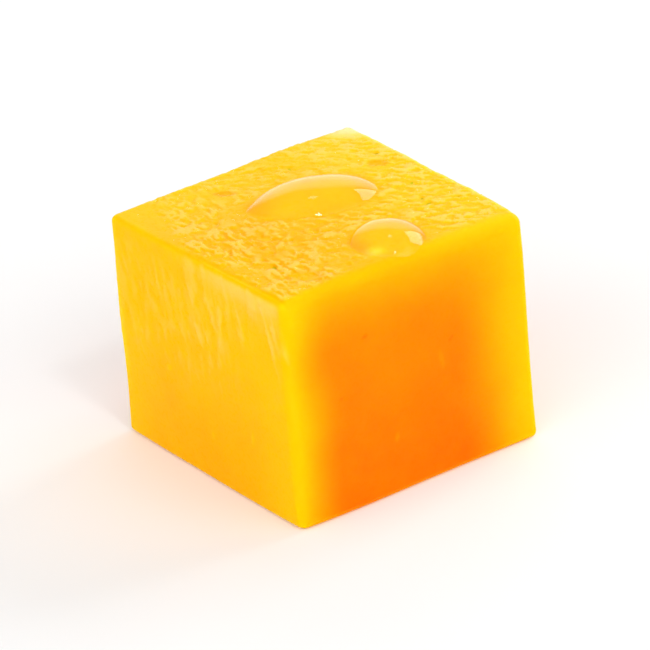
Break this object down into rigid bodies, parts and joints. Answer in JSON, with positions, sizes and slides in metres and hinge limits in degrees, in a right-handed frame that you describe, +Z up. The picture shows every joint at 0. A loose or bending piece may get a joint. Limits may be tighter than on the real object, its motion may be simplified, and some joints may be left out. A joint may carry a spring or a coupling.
{
  "type": "papaya cube",
  "caption": "Hand cut cube of ripe papaya flesh with softly rounded edges, fibrous cut faces and clear drops of juice standing on its top.",
  "frame": {"origin": "middle of the flat underside that the cube rests on", "axes": "+Z up, out of the top that the drops stand on; -Y the smooth front face; -X the side with the fibre streaks"},
  "size_m": [0.0257, 0.0258, 0.0228],
  "materials": {
    "papaya_flesh": "moist and softly glossy, translucent yellow-orange with fine fibres",
    "juice_drop": "clear, wet and glossy"
  },
  "bodies": {
    "root": {"papaya_cube": "papaya_flesh"}
  },
  "joints": []
}
